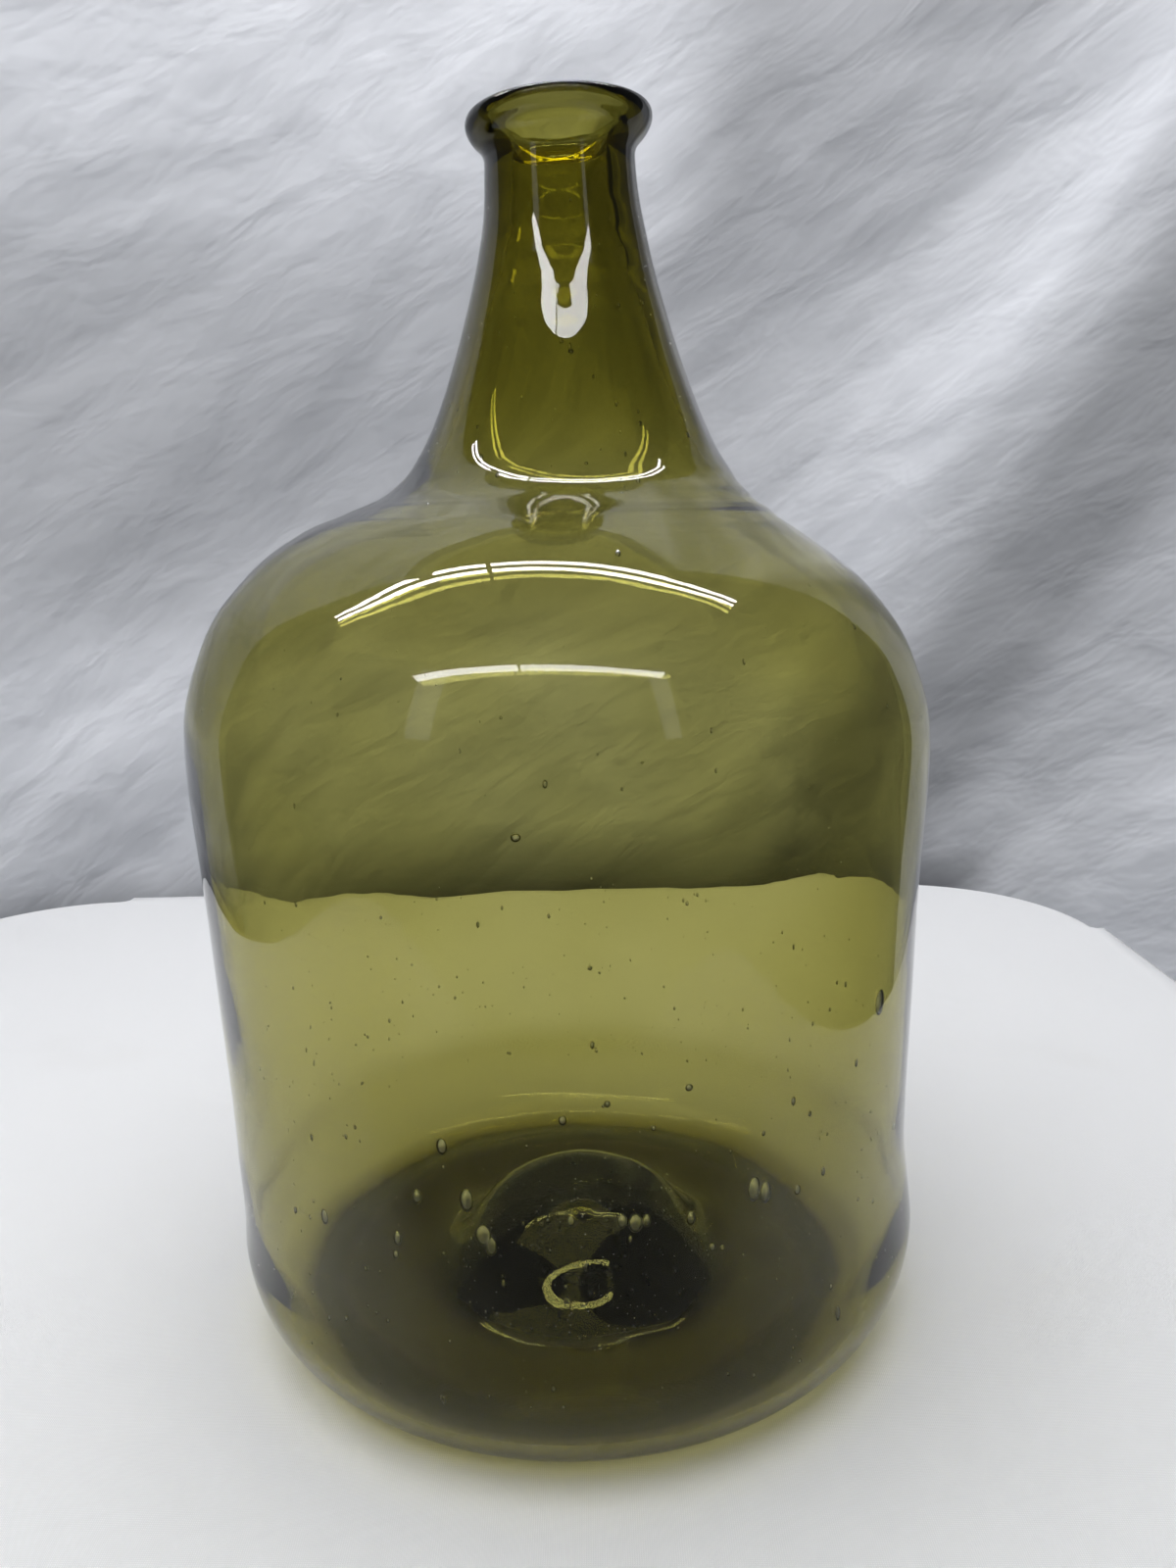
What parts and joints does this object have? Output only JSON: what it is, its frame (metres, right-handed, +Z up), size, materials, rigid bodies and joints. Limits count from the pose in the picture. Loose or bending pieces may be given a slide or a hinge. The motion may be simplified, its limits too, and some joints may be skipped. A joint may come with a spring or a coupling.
{
  "type": "demijohn",
  "caption": "Large free-blown olive-green glass demijohn, empty and uncovered, with a long tapering neck, a flared mouth with a lip ring and a thick domed base.",
  "frame": {"origin": "centre of the body's box on the table plane: the middle of the cylindrical body, at the level of the ring of the base that touches the table", "axes": "+Z up along the body, +X to the right and -Y towards the viewer of the picture; the neck stands about 5 mm to +X of the body's axis"},
  "size_m": [0.24, 0.24, 0.3879],
  "materials": {
    "olive_glass": "fire polished, with seeds",
    "thick_glass": "glossy, tooled",
    "rough_glass": "broken and rough"
  },
  "bodies": {
    "root": {"blown_body": "olive_glass", "lip_ring": "thick_glass", "pontil_scar": "rough_glass"}
  },
  "joints": []
}
